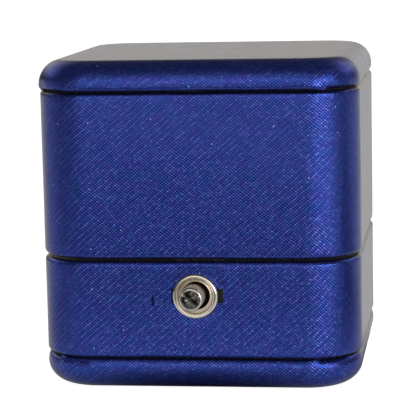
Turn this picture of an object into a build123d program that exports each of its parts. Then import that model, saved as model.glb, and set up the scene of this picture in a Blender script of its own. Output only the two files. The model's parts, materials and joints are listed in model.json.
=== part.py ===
from build123d import *
import math
import os

# Push-button ring box: a covered square case with rounded corners, a spring hinge and a push-button latch.
# Millimetres. The origin is the centre of the underside, +Z is up, the button faces -Y and the hinge is at +Y.
# Each function below makes one physical piece, and each piece is written to parts/NODE.step.

# ---- driving dimensions -------------------------------------------------------------------------------------
HALF = 32.5  # half of the outer width and depth
CORNER = 11.0  # outer corner radius in plan
HEIGHT = 66.5  # overall height, closed
BOTTOM_TOP = 6.7  # top of the bottom plate
RIM = 26.75  # level of the parting line and of the hinge axis
TOP_BOTTOM = 60.4  # underside of the top plate
RIM_GAP = 0.4  # air between the two rims when the box is closed

SKIN = 0.8  # leatherette with its backing
WALL = 4.0  # wall frame
EDGE = 1.0  # outer edge round of a covered wall
TOP_NOSE = 4.5  # edge round of the top plate
BOTTOM_NOSE = 5.3  # edge round of the bottom plate
TOUCH = 0.02  # air left between pieces of one body that only touch

FRAME_OUT = HALF - SKIN
FRAME_IN = FRAME_OUT - WALL
BASE_RIM = RIM - RIM_GAP / 2
LID_RIM = RIM + RIM_GAP / 2

# ---- lining, collar and insert --------------------------------------------------------------------------------
LID_LINING = 0.8
BASE_LINER = 1.5
COLLAR_OUT = 26.1
COLLAR_IN = 24.7
COLLAR_TOP = RIM + 3.0
PAD_THICKNESS, PAD_EDGE = 4.2, 2.4  # cushion under the lid's ceiling
INSERT_HALF = 24.5
INSERT_TOP = 23.4
INSERT_CARD = 2.4
WINDOW_X, WINDOW_Y = 36.0, 23.0  # opening in the insert card for the two ring rolls
ROLL_TOP = 27.6
ROLL_SLIT = 0.6

# ---- push-button latch ----------------------------------------------------------------------------------------
BUTTON_Z = 19.65
BUTTON_X = -0.45  # the plunger's own axis, a little off the bezel's
BEZEL_OUT = 4.6
BEZEL_ROLL = 0.6  # radius of the rolled lip
BARREL_R = 3.8
BARREL_IN = 3.4
BORE_R = 2.85
HEAD_R = 2.35
HEAD_EDGE = 0.4
HEAD_PROUD = 4.4  # from the leatherette to the button's face
FLANGE_R, FLANGE_T, FLANGE_AIR = 2.9, 0.6, 0.05
STEM_R = 1.2
STEM_PLAY = 0.8  # the stem moves this far before it meets the catch
PLATE_X, PLATE_Z0, PLATE_Z1 = 9.0, 12.6, 22.9
PLATE_BACK = -26.3
LATCH_ROOM_X = 10.2  # half width of the room behind the wall for the latch and the strike
SLOT_X, SLOT_Z = 5.35, 1.45  # half sizes of the slot for the plate's two ears
TONGUE_FRONT = -(FRAME_IN - TOUCH - LID_LINING)  # the strike plate lies on the lid's lining
TONGUE_BACK = TONGUE_FRONT + 0.5
TONGUE_LOW, TONGUE_HIGH = 23.2, 36.0
LEAF_T = 0.4  # spring-steel catch
SPRING_WIRE = 0.18
SPRING_R = 2.2
SPRING_TURNS = 4
SPRING_POCKET_R = 2.6
SPRING_SEAT = -27.0  # floor of the spring's pocket in the latch plate

# ---- hinge ----------------------------------------------------------------------------------------------------
HINGE_Y = HALF
HINGE_HALF = 20.0
KNUCKLE_R = 1.35
PIN_R = 0.6
LEAF_PLATE = 0.6
LEAF_IN = 28.2  # inner edge of both leaves
KNUCKLE_SPLIT, SPRING_HALF = 13.1, 5.0
KNUCKLE_AIR = 0.1
LIP_IN, LIP_OUT, LIP_T = 1.5, 2.2, 0.5
LIP_ANGLE = 58.5  # each stop lip, measured from the rearward direction
SCREW_X = (-16.5, -9.0, 9.0, 16.5)
SCREW_Y = 29.9


# ---- helpers --------------------------------------------------------------------------------------------------
def corner(half):
    """Plan corner radius of a rounded square that runs parallel to the outer one."""
    return max(CORNER - (HALF - half), 0.8)


def block(half, z0, z1):
    return extrude(Plane.XY.offset(z0) * RectangleRounded(2 * half, 2 * half, corner(half)), z1 - z0)


def box(x0, x1, y0, y1, z0, z1):
    return Pos((x0 + x1) / 2, (y0 + y1) / 2, (z0 + z1) / 2) * Box(x1 - x0, y1 - y0, z1 - z0)


def round_low(part, radius):
    return fillet(part.edges().group_by(Axis.Z)[0], radius)


def round_high(part, radius):
    return fillet(part.edges().group_by(Axis.Z)[-1], radius)


def rod_y(radius, y0, y1, x=0.0, z=BUTTON_Z):
    """Cylinder along Y."""
    return Plane((x, y0, z), x_dir=(1, 0, 0), z_dir=(0, 1, 0)) * Cylinder(
        radius, y1 - y0, align=(Align.CENTER, Align.CENTER, Align.MIN)
    )


def rod_x(radius, x0, x1, y=HINGE_Y, z=RIM):
    """Cylinder along X."""
    return Plane((x0, y, z), x_dir=(0, 1, 0), z_dir=(1, 0, 0)) * Cylinder(
        radius, x1 - x0, align=(Align.CENTER, Align.CENTER, Align.MIN)
    )


def rod_z(radius, z0, z1, x, y):
    """Cylinder along Z."""
    return Pos(x, y, z0) * Cylinder(radius, z1 - z0, align=(Align.CENTER, Align.CENTER, Align.MIN))


def ear_slot(y0, y1):
    """Room in the front wall for the bezel's barrel and the plate's ears."""
    air = 0.1
    return rod_y(BARREL_R + air, y0, y1) + box(
        -SLOT_X, SLOT_X, y0, y1, BUTTON_Z - SLOT_Z, BUTTON_Z + SLOT_Z
    )


def barrel_relief():
    """Room in both rims for the hinge barrel."""
    air = 0.35
    return rod_x(KNUCKLE_R + air, -HINGE_HALF - air, HINGE_HALF + air)


def leaf_mortise(z0, z1):
    """Cut in a cover's rim that lets a hinge leaf lie on the wall frame."""
    air = 0.1
    return box(-HINGE_HALF - air, HINGE_HALF + air, LEAF_IN - air, HALF + 1, z0, z1)


# ---- covered plates -------------------------------------------------------------------------------------------
def top_core():
    """Everything inside the top cover: board and foam together."""
    core = block(FRAME_OUT, TOP_BOTTOM + SKIN, HEIGHT - SKIN)
    return round_low(round_high(core, TOP_NOSE - SKIN), EDGE - SKIN)


FOAM_LEVEL = HEIGHT - 2 * SKIN


def top_board():
    return top_core() & box(-HALF, HALF, -HALF, HALF, TOP_BOTTOM, FOAM_LEVEL)


def top_foam():
    return top_core() & box(-HALF, HALF, -HALF, HALF, FOAM_LEVEL, HEIGHT)


def top_cover():
    """Leatherette wrapped over the top board and turned in under its edge."""
    shell = round_low(round_high(block(HALF, TOP_BOTTOM, HEIGHT), TOP_NOSE), EDGE)
    return shell - top_core() - block(FRAME_IN, TOP_BOTTOM, TOP_BOTTOM + SKIN)


def bottom_board():
    core = block(FRAME_OUT, SKIN, BOTTOM_TOP - SKIN)
    return round_high(round_low(core, BOTTOM_NOSE - SKIN), EDGE - SKIN)


def bottom_cover():
    """Leatherette wrapped under the bottom board and turned in over its edge."""
    shell = round_high(round_low(block(HALF, 0, BOTTOM_TOP), BOTTOM_NOSE), EDGE)
    return shell - bottom_board() - block(FRAME_IN, BOTTOM_TOP - SKIN, BOTTOM_TOP)


# ---- covered walls --------------------------------------------------------------------------------------------
def wall_blank(z0, z1):
    return block(FRAME_OUT, z0, z1) - block(FRAME_IN, z0, z1)


def cover_blank(z0, z1):
    """Leatherette round a wall frame, turned in over both of its rims."""
    shell = round_low(round_high(block(HALF, z0, z1), EDGE), EDGE)
    return shell - block(FRAME_OUT, z0 + SKIN, z1 - SKIN) - block(FRAME_IN, z0, z1)


def base_frame():
    frame = wall_blank(BOTTOM_TOP + SKIN, BASE_RIM - SKIN)
    frame -= ear_slot(-HALF, -FRAME_IN + 1) + barrel_relief()
    for x in SCREW_X:
        frame -= hinge_screw(x, -1)
    for screw in plate_screw_list():
        frame -= screw
    return frame


def base_cover():
    cover = cover_blank(BOTTOM_TOP, BASE_RIM)
    cover -= ear_slot(-HALF - 1, -FRAME_OUT + 0.1)
    return cover - barrel_relief() - leaf_mortise(BASE_RIM - SKIN, RIM)


def lid_frame():
    frame = wall_blank(LID_RIM + SKIN, TOP_BOTTOM - SKIN) - barrel_relief()
    for x in SCREW_X:
        frame -= hinge_screw(x, 1)
    for screw in strike_screw_list():
        frame -= screw
    return frame


def lid_cover():
    return cover_blank(LID_RIM, TOP_BOTTOM) - barrel_relief() - leaf_mortise(RIM, LID_RIM + SKIN)


# ---- linings, collar and insert -------------------------------------------------------------------------------
def lid_lining():
    z0, z1 = LID_RIM + SKIN / 2, TOP_BOTTOM
    half = FRAME_IN - TOUCH
    lining = block(half, z0, z1) - block(half - LID_LINING, z0, z1)
    for screw in strike_screw_list():
        lining -= screw
    return lining


def lid_pad():
    """Cushion under the ceiling of the lid, crowned downwards at its edge."""
    high = TOP_BOTTOM + SKIN - TOUCH
    return round_low(block(FRAME_IN - LID_LINING - 0.3, high - PAD_THICKNESS, high), PAD_EDGE)


def base_liner():
    z0, z1 = BOTTOM_TOP + TOUCH, BASE_RIM - SKIN / 2
    half = FRAME_IN - TOUCH
    liner = block(half, z0, z1) - block(half - BASE_LINER, z0, z1)
    return liner - box(-LATCH_ROOM_X, LATCH_ROOM_X, -HALF, -CORNER, PLATE_Z0 - 0.4, z1 + 1)


def inner_collar():
    """Velvet-covered card collar that stands above the rim and centres the lid."""
    z0 = BOTTOM_TOP + TOUCH
    collar = round_high(block(COLLAR_OUT, z0, COLLAR_TOP), 0.6) - block(COLLAR_IN, z0, COLLAR_TOP)
    pocket_depth = 1.0
    pocket = box(-LATCH_ROOM_X, LATCH_ROOM_X, -HALF, -COLLAR_OUT + pocket_depth, 0, RIM - 0.3)
    return collar - pocket


def foam_block():
    return block(INSERT_HALF, BOTTOM_TOP + TOUCH, INSERT_TOP - INSERT_CARD - TOUCH)


def insert_card():
    """Velvet-covered card round the two ring rolls."""
    card = round_high(block(INSERT_HALF, INSERT_TOP - INSERT_CARD, INSERT_TOP), 0.8)
    opening = Rectangle(WINDOW_X, WINDOW_Y)
    return card - extrude(Plane.XY.offset(INSERT_TOP - INSERT_CARD) * opening, INSERT_CARD)


def ring_roll(side):
    """One of the two padded rolls that grip the ring: side -1 is the front roll, 1 the rear one."""
    air = 0.15
    depth = (WINDOW_Y - ROLL_SLIT) / 2 - air
    z0 = INSERT_TOP - INSERT_CARD
    x = WINDOW_X / 2 - air
    y0 = ROLL_SLIT / 2
    roll = box(-x, x, y0, y0 + depth, z0, ROLL_TOP)
    roll = fillet(roll.edges().filter_by(Axis.X).group_by(Axis.Z)[-1], depth * 0.42)
    return roll if side > 0 else mirror(roll, about=Plane.XZ)


# ---- push-button latch ----------------------------------------------------------------------------------------
LIP_Y = -HALF - BEZEL_ROLL  # centre of the rolled lip
BEZEL_SEAT = -HALF + 1.4  # step that keeps the plunger's flange in


def latch_bezel():
    """Turned ring: a rolled lip, a dished mouth and a barrel that passes through the wall."""
    lip_r = BEZEL_OUT - BEZEL_ROLL
    back = -FRAME_IN
    dish = BEZEL_SEAT - 1.2
    outline = [
        (lip_r, -HALF),
        (lip_r - BEZEL_ROLL, -HALF),
        (BORE_R, dish),
        (BORE_R, BEZEL_SEAT),
        (BARREL_IN, BEZEL_SEAT),
        (BARREL_IN, back),
        (BARREL_R, back),
        (BARREL_R, -HALF),
    ]
    profile = Plane.XY * make_face(Polyline(*outline, close=True))
    lip = Pos(lip_r, LIP_Y) * Circle(BEZEL_ROLL)
    web = Pos(lip_r, (LIP_Y - HALF) / 2) * Rectangle(2 * BEZEL_ROLL, BEZEL_ROLL)
    turned = revolve(profile + lip + web, axis=Axis.Y)
    return Pos(0, 0, BUTTON_Z) * turned


def push_button():
    """Plunger with its head, retaining flange and stem."""
    face = -HALF - HEAD_PROUD
    flange_front = BEZEL_SEAT + FLANGE_AIR
    flange_back = flange_front + FLANGE_T
    head = rod_y(HEAD_R, face, flange_front, BUTTON_X)
    head = fillet(head.edges().group_by(Axis.Y)[0], HEAD_EDGE)
    flange = rod_y(FLANGE_R, flange_front, flange_back, BUTTON_X)
    stem = rod_y(STEM_R, flange_back, PLATE_BACK - STEM_PLAY, BUTTON_X)
    return head + flange + stem


def button_spring():
    """Compression spring between the plunger's flange and the latch plate."""
    front = BEZEL_SEAT + FLANGE_AIR + FLANGE_T + SPRING_WIRE + TOUCH
    back = SPRING_SEAT - SPRING_WIRE - TOUCH
    start = Plane((BUTTON_X, front, BUTTON_Z), x_dir=(1, 0, 0), z_dir=(0, 1, 0))
    path = start * Helix(pitch=(back - front) / SPRING_TURNS, height=back - front, radius=SPRING_R)
    wire = Plane(origin=path @ 0, z_dir=path % 0) * Circle(SPRING_WIRE)
    return sweep(wire, path=path, is_frenet=True)


PLATE_SCREWS = ((-7.0, BUTTON_Z), (7.0, BUTTON_Z))


def plate_screw_list():
    """Two pan-head screws that hold the latch plate on the front wall from inside."""
    shank, head_r, head_h = 0.7, 1.2, 0.6
    return [
        rod_y(shank, -FRAME_IN - 3.0, PLATE_BACK, x, z) + rod_y(head_r, PLATE_BACK, PLATE_BACK + head_h, x, z)
        for x, z in PLATE_SCREWS
    ]


def latch_plate():
    """Plate behind the front wall that guides the stem, with two ears in the wall's slot."""
    corner_radius, air, guide_air = 1.5, 0.1, 0.05
    plate = box(-PLATE_X, PLATE_X, -FRAME_IN, PLATE_BACK, PLATE_Z0, PLATE_Z1)
    plate = fillet(plate.edges().filter_by(Axis.Y), corner_radius)
    ear_front = -HALF + 0.9
    for side in (-1, 1):
        inner, outer = sorted((side * (BARREL_R + air), side * (SLOT_X - air)))
        plate += box(inner, outer, ear_front, -FRAME_IN, BUTTON_Z - SLOT_Z + air, BUTTON_Z + SLOT_Z - air)
    plate -= rod_y(SPRING_POCKET_R, -FRAME_IN, SPRING_SEAT, BUTTON_X)
    plate -= rod_y(STEM_R + guide_air, SPRING_SEAT, PLATE_BACK, BUTTON_X)
    for screw in plate_screw_list():
        plate -= screw
    for rivet in catch_rivet_list():
        plate -= rivet
    return plate


CATCH_X = 2.6  # half width of the catch leaf
CATCH_FOOT = PLATE_Z0 + 0.3
NOSE_LOW, NOSE_HIGH = 24.3, 25.3


def catch_rivet_list():
    """Two rivets that fix the catch's foot to the latch plate."""
    back = PLATE_BACK + LEAF_T
    z = CATCH_FOOT + 1.2
    return [
        rod_y(0.4, PLATE_BACK - 0.9, back, x, z) + rod_y(0.75, back, back + 0.3, x, z) for x in (-1.4, 1.4)
    ]


def catch_leaf():
    """Spring-steel leaf, whose nose holds the lid's strike until the stem bends it back."""
    front, back = PLATE_BACK, PLATE_BACK + LEAF_T
    nose_tip = TONGUE_FRONT + 0.05
    nose_half = 1.8
    side = [
        (front, CATCH_FOOT),
        (front, NOSE_LOW),
        (nose_tip, NOSE_LOW),
        (nose_tip, NOSE_LOW + 0.25),
        (front + 0.1, NOSE_HIGH),
        (back, NOSE_HIGH),
        (back, CATCH_FOOT),
    ]
    sketch = Plane.YZ.offset(-CATCH_X) * make_face(Polyline(*side, close=True))
    leaf = extrude(sketch, 2 * CATCH_X)
    for sign in (-1, 1):
        low, high = sorted((sign * nose_half, sign * (CATCH_X + 1)))
        leaf -= box(low, high, TONGUE_FRONT - 1, PLATE_BACK, NOSE_LOW - 1, NOSE_HIGH + 1)
    for rivet in catch_rivet_list():
        leaf -= rivet
    return leaf


STRIKE_SCREWS = ((-2.6, 33.2), (2.6, 33.2))


def strike_screw_list():
    """Two screws that hold the strike plate on the lid's front wall."""
    shank, head_r, head_h = 0.6, 1.15, 0.45
    return [
        rod_y(shank, -FRAME_IN - 3.0, TONGUE_BACK, x, z)
        + rod_y(head_r, TONGUE_BACK, TONGUE_BACK + head_h, x, z)
        for x, z in STRIKE_SCREWS
    ]


def strike_plate():
    """Sheet-steel tongue on the lid, with the window that the catch's nose enters."""
    half, window, corner_radius = 5.0, 2.3, 1.2
    plate = box(-half, half, TONGUE_FRONT, TONGUE_BACK, TONGUE_LOW, TONGUE_HIGH)
    plate = fillet(plate.edges().filter_by(Axis.Y), corner_radius)
    plate -= box(-window, window, TONGUE_FRONT, TONGUE_BACK, NOSE_LOW - 0.1, NOSE_HIGH + 0.5)
    for screw in strike_screw_list():
        plate -= screw
    return plate


# ---- hinge ----------------------------------------------------------------------------------------------------
def knuckles(spans, bore):
    body = None
    for x0, x1 in spans:
        knuckle = rod_x(KNUCKLE_R, x0, x1) - rod_x(bore, x0, x1)
        body = knuckle if body is None else body + knuckle
    return body


def stop_lip(spans, up):
    """Bar beside the barrel: the two leaves' bars meet and stop the lid when it is fully open."""
    angle = up * LIP_ANGLE
    frame = Plane((0, HINGE_Y, RIM), x_dir=(1, 0, 0), z_dir=(0, 1, 0)).rotated((angle, 0, 0))
    bar = Pos(0, 0, (LIP_IN + LIP_OUT) / 2) * Box(2 * HINGE_HALF, LIP_T, LIP_OUT - LIP_IN)
    for x0, x1 in spans:
        foot = KNUCKLE_R - 0.3
        bar += Pos((x0 + x1) / 2, 0, (foot + LIP_IN) / 2) * Box(x1 - x0, LIP_T, LIP_IN - foot)
    return frame * bar


def hinge_leaf(spans, bore, up):
    """One leaf: a plate on the rim of its wall frame, its knuckles and its stop lip. up is 1 on the lid."""
    near = RIM + up * (RIM_GAP / 2 + SKIN - LEAF_PLATE)
    far = near + up * LEAF_PLATE
    z0, z1 = min(near, far), max(near, far)
    clear_y = HINGE_Y - KNUCKLE_R - 0.35
    leaf = box(-HINGE_HALF, HINGE_HALF, LEAF_IN, clear_y, z0, z1)
    for x0, x1 in spans:
        leaf += box(x0, x1, clear_y, HINGE_Y - PIN_R - 0.2, z0, z1)
    leaf += knuckles(spans, bore)
    leaf += stop_lip(spans, up)
    for x in SCREW_X:
        leaf -= hinge_screw(x, up)
    return leaf


BASE_SPANS = ((-HINGE_HALF, -KNUCKLE_SPLIT - KNUCKLE_AIR), (KNUCKLE_SPLIT + KNUCKLE_AIR, HINGE_HALF))
LID_SPANS = ((-KNUCKLE_SPLIT + KNUCKLE_AIR, -SPRING_HALF), (SPRING_HALF, KNUCKLE_SPLIT - KNUCKLE_AIR))


def hinge_leaf_base():
    return hinge_leaf(BASE_SPANS, PIN_R + TOUCH, -1)


def hinge_leaf_lid():
    return hinge_leaf(LID_SPANS, PIN_R + 0.05, 1)


def hinge_pin():
    pin = rod_x(PIN_R, -HINGE_HALF - 0.3, HINGE_HALF + 0.3)
    return chamfer(pin.edges().filter_by(GeomType.CIRCLE), 0.15)


def hinge_screw(x, up):
    """Countersunk screw through a leaf into the rim of its wall frame."""
    face = RIM + up * (RIM_GAP / 2 + SKIN - LEAF_PLATE)
    shank, head, depth = 0.55, 1.05, 0.5
    length = 4.5
    cone = Cone(shank, head, depth, align=(Align.CENTER, Align.CENTER, Align.MAX))
    body = Cylinder(shank, length, align=(Align.CENTER, Align.CENTER, Align.MAX))
    turn = Rot(180, 0, 0) if up > 0 else Rot(0, 0, 0)
    return Pos(x, SCREW_Y, face) * turn * (cone + body)


HINGE_WIRE = 0.2
COIL_R = 0.95
LEG_R = 0.9 * HINGE_WIRE
LEG_ROOT = 0.1  # each leg starts this far inside the coil's end


def hinge_spring():
    """Torsion spring round the pin: one leg lies on each leaf and lifts the lid when the catch lets go."""
    coil_half = 3.2
    turns = 11
    leg_z, leg_near, leg_far = HINGE_WIRE - 0.01, 1.5, 3.8
    reach = math.hypot(leg_near, leg_z)
    tangent = math.pi + math.atan2(leg_z, leg_near) + math.acos(COIL_R / reach)
    swept = turns * 2 * math.pi - (2 * tangent - 2 * math.pi)
    start = Plane(
        (-coil_half, HINGE_Y, RIM), x_dir=(0, math.cos(tangent), math.sin(tangent)), z_dir=(1, 0, 0)
    )
    path = start * Helix(pitch=4 * math.pi * coil_half / swept, height=2 * coil_half, radius=COIL_R)
    spring = sweep(Plane(origin=path @ 0, z_dir=path % 0) * Circle(HINGE_WIRE), path=path, is_frenet=True)
    for side, at, along in ((-1, path @ 0, path % 0), (1, path @ 1, path % 1)):
        x = side * coil_half
        root = at - side * along * LEG_ROOT
        bend = Vector(x, HINGE_Y - leg_near, RIM + side * leg_z)
        tip = Vector(x, HINGE_Y - leg_far, RIM + side * leg_z)
        spring += spring_leg(root, bend)
        spring += Pos(*bend) * Sphere(HINGE_WIRE)
        spring += spring_leg(bend, tip)
    return spring


def spring_leg(a, b):
    return Plane(origin=a, z_dir=b - a) * Cylinder(
        LEG_R, (b - a).length, align=(Align.CENTER, Align.CENTER, Align.MIN)
    )


# ---- output ---------------------------------------------------------------------------------------------------
NODES = {
    "bottom_board": bottom_board,
    "bottom_cover": bottom_cover,
    "base_frame": base_frame,
    "base_cover": base_cover,
    "base_liner": base_liner,
    "inner_collar": inner_collar,
    "foam_block": foam_block,
    "insert_card": insert_card,
    "ring_roll_front": lambda: ring_roll(-1),
    "ring_roll_rear": lambda: ring_roll(1),
    "latch_bezel": latch_bezel,
    "latch_plate": latch_plate,
    "latch_plate_screws": lambda: Compound(plate_screw_list()),
    "catch_leaf": catch_leaf,
    "catch_rivets": lambda: Compound(catch_rivet_list()),
    "push_button": push_button,
    "button_spring": button_spring,
    "hinge_leaf_base": hinge_leaf_base,
    "hinge_leaf_lid": hinge_leaf_lid,
    "hinge_pin": hinge_pin,
    "hinge_spring": hinge_spring,
    "hinge_screws_base": lambda: Compound([hinge_screw(x, -1) for x in SCREW_X]),
    "hinge_screws_lid": lambda: Compound([hinge_screw(x, 1) for x in SCREW_X]),
    "lid_frame": lid_frame,
    "lid_cover": lid_cover,
    "lid_lining": lid_lining,
    "lid_pad": lid_pad,
    "strike_plate": strike_plate,
    "strike_screws": lambda: Compound(strike_screw_list()),
    "top_board": top_board,
    "top_foam": top_foam,
    "top_cover": top_cover,
}


def main():
    os.makedirs("parts", exist_ok=True)
    for name, make in NODES.items():
        export_step(make(), f"parts/{name}.step")


main()
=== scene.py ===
import json
import math

import bmesh
import bpy
from mathutils import Matrix, Vector, noise


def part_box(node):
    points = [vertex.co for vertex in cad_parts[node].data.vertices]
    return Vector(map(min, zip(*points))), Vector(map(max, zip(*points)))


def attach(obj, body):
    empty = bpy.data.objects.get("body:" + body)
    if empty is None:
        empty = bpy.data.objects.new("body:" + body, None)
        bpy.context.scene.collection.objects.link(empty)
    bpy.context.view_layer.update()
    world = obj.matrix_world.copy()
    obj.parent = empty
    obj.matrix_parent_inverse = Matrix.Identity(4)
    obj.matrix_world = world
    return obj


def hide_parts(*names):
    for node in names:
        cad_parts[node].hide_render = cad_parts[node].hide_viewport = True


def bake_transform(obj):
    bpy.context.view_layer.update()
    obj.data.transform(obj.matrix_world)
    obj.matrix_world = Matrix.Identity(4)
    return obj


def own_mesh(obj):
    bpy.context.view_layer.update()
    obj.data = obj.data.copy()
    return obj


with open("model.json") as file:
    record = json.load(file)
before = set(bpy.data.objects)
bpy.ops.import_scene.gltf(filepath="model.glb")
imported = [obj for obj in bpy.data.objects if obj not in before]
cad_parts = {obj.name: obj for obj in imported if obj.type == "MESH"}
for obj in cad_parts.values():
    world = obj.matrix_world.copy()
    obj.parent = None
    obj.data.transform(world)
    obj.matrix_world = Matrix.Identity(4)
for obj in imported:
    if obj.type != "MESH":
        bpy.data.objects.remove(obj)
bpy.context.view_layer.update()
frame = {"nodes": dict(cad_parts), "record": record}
NODES = frame["nodes"]
SCENE = bpy.context.scene
MM = 0.001

# ---- levels and sizes, read from the frame -------------------------------------------------------
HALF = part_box("lid_cover")[1].x
FLOOR_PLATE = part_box("bottom_cover")
BASE_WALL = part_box("base_cover")
LID_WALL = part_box("lid_cover")
TOP_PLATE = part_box("top_cover")
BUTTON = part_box("push_button")
BUTTON_X = (BUTTON[0].x + BUTTON[1].x) / 2
BUTTON_Z = (BUTTON[0].z + BUTTON[1].z) / 2
BUTTON_RADIUS = 2.35 * MM  # of its head
HINGE_Z = (BASE_WALL[1].z + LID_WALL[0].z) / 2
CORNER = 11.0 * MM  # outer corner radius in plan
SKIN = 0.8 * MM  # leatherette with its backing
EDGE = 1.0 * MM  # edge round of the walls
TOP_NOSE = 4.5 * MM  # edge round of the top plate
BOTTOM_NOSE = 5.3 * MM  # edge round of the bottom plate
BOTTOM_EDGE_RISE = 2.1 * MM  # height of the bottom plate's round next to its seam
TURN_IN = 4.6 * MM  # how far the leatherette is turned in over a rim
HAIR = 0.05 * MM  # air between a piece and the CAD solid behind it
FRONT_MIDDLE = 4 * (HALF - CORNER) + CORNER * math.pi  # way round the walls from mid-back to mid-front


# ---- outlines ------------------------------------------------------------------------------------
def plan_ring(half, corner, straight_step, corner_step):
    """Rounded square seen from above, from mid-back round by the left side, and its girth.

    Each station is (point, outward normal, way round so far).
    """
    flat = half - corner
    ring = []
    travelled = 0.0
    sides = [
        (Vector((0, half)), Vector((-flat, half)), Vector((-flat, flat)), 90),
        (Vector((-half, flat)), Vector((-half, -flat)), Vector((-flat, -flat)), 180),
        (Vector((-flat, -half)), Vector((flat, -half)), Vector((flat, -flat)), 270),
        (Vector((half, -flat)), Vector((half, flat)), Vector((flat, flat)), 0),
        (Vector((flat, half)), Vector((0, half)), None, None),
    ]
    for start, end, centre, first_angle in sides:
        length = (end - start).length
        along = (end - start) / length
        outward = Vector((along.y, -along.x))
        count = max(2, round(length / straight_step))
        stations = [length * i / count for i in range(count)]
        if travelled == 0.0:
            stations.insert(1, 0.1 * MM)  # one narrow step where the ring starts
        for station in stations:
            ring.append((start + along * station, outward, travelled + station))
        travelled += length
        if centre is None:
            continue
        arc = corner * math.pi / 2
        count = max(4, round(arc / corner_step))
        for i in range(count):
            angle = math.radians(first_angle + 90 * i / count)
            outward = Vector((math.cos(angle), math.sin(angle)))
            ring.append((centre + outward * corner, outward, travelled + arc * i / count))
        travelled += arc
    return ring, travelled


def inward(point, outward, inset, half, corner):
    """A point of the plan moved inwards. Past the corner radius the outline shrinks towards the middle."""
    if inset <= corner:
        return point - outward * inset
    return (point - outward * corner) * (half - inset) / (half - corner)


def facing(outward):
    """Plan angle of an outward direction in degrees: 0 is the front, 90 the right side, 180 the back."""
    return math.degrees(math.atan2(outward.x, -outward.y))


def arc_points(centre, radius, start, end, count):
    """Points of an arc in the (inset, z) plane, angles in degrees."""
    points = []
    for i in range(count + 1):
        angle = math.radians(start + (end - start) * i / count)
        points.append((centre[0] + radius * math.cos(angle), centre[1] + radius * math.sin(angle)))
    return points


def run_points(a, b, count):
    """Points between a and b, without either end."""
    return [(a[0] + (b[0] - a[0]) * i / count, a[1] + (b[1] - a[1]) * i / count) for i in range(1, count)]


def with_lengths(profile):
    """Adds to each profile point its distance along the profile."""
    out = []
    travelled = 0.0
    last = None
    for p in profile:
        if last is not None:
            travelled += math.hypot(p[0] - last[0], p[1] - last[1])
        out.append((p[0], p[1], travelled))
        last = p
    return out


def smooth(t):
    """Soft step from 0 to 1 as t goes from 0 to 1."""
    t = min(max(t, 0.0), 1.0)
    return t * t * (3 - 2 * t)


def ripple(a, b, size, seed):
    """Soft noise from -1 to 1 over lengths a and b, with waves about as long as size."""
    return noise.noise(Vector((a / size, b / size, seed)))


# ---- mesh helpers --------------------------------------------------------------------------------
def finish_mesh(name, bm, body, material):
    """Smooth-shaded object of a bmesh, riding a body."""
    bmesh.ops.recalc_face_normals(bm, faces=bm.faces)
    mesh = bpy.data.meshes.new(name)
    bm.to_mesh(mesh)
    bm.free()
    mesh.polygons.foreach_set("use_smooth", [True] * len(mesh.polygons))
    mesh.materials.append(material)
    piece = bpy.data.objects.new(name, mesh)
    SCENE.collection.objects.link(piece)
    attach(piece, body)
    return piece


def sweep_ring(
    name, profile, body, material, half, corner, shape, caps=False, unfold=0, steps=(0.9 * MM, 0.3 * MM),
    crown=0.0,
):
    """Sweeps a profile of (inset, z) round a rounded square, with stations as far apart as steps says.

    shape(angle, s, inset, z) gives how far a point is pushed out and lifted, and how much painted seam
    shade darkens its colour, from 0 to 1. caps closes both ends; without them the profile is closed on
    itself.
    unfold is 0 for a strip laid round the walls, and 1 or -1 for a sheet laid over the top or under the
    bottom.
    crown raises the middle of the last cap.
    """
    ring, girth = plan_ring(half, corner, *steps)
    measured = with_lengths(profile)
    last_inset, _, last_v = measured[-1]
    bm = bmesh.new()
    uv_layer = bm.loops.layers.uv.new("wrap")
    # Float layer of how much painted seam shade each point gets; the leatherette dims its colour by it.
    painted_seam_shade_layer = bm.verts.layers.float.new("painted_seam_shade")
    rows = []
    for inset, z, v in measured:
        row = []
        for point, outward, s in ring:
            push, lift, painted_seam_shade = shape(facing(outward), s, inset, z)
            place = inward(point, outward, inset - push, half, corner)
            vert = bm.verts.new((place.x, place.y, z + lift))
            vert[painted_seam_shade_layer] = painted_seam_shade
            row.append(vert)
        rows.append(row)

    def laid(i, j, side):
        """Place of a ring point on the flat material. side is the side of the box that the face is on."""
        point, outward, s = ring[i % len(ring)]
        s += girth if i == len(ring) else 0.0
        v = measured[j][2]
        if not unfold:
            return s / MM, v / MM
        down = last_v - v
        flat = inward(point, outward, last_inset, half, corner) + outward * down
        along = s - girth * (side + 2) / 4
        reach = half - last_inset + down
        by_side = ((along, -reach), (reach, along), (-along, reach), (-reach, -along))
        place = flat.lerp(Vector(by_side[side % 4]), smooth((down - 1.5 * MM) / (4 * MM)))
        return place.x / MM, unfold * place.y / MM

    count = len(ring)
    links = [(j, j + 1) for j in range(len(rows) - 1)]
    if not caps:
        links.append((len(rows) - 1, 0))
    for j, k in links:
        for i in range(count):
            n = (i + 1) % count
            face = bm.faces.new((rows[j][i], rows[j][n], rows[k][n], rows[k][i]))
            side = round(facing(ring[i][1]) / 90)
            if abs(side) == 2:  # the back, which the ring's start halves
                side = -2 if i < count / 2 else 2
            for loop, (a, b) in zip(face.loops, ((i, j), (i + 1, j), (i + 1, k), (i, k))):
                loop[uv_layer].uv = laid(a, b, side)
    if caps:
        for row, rise in ((rows[0], 0.0), (rows[-1], crown)):
            cap_ring(bm, uv_layer, row, unfold or 1, rise)
    return finish_mesh(name, bm, body, material)


CAP_STEPS = 16  # shrunken rings in a cap
CAP_SEED = 3.3


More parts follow.
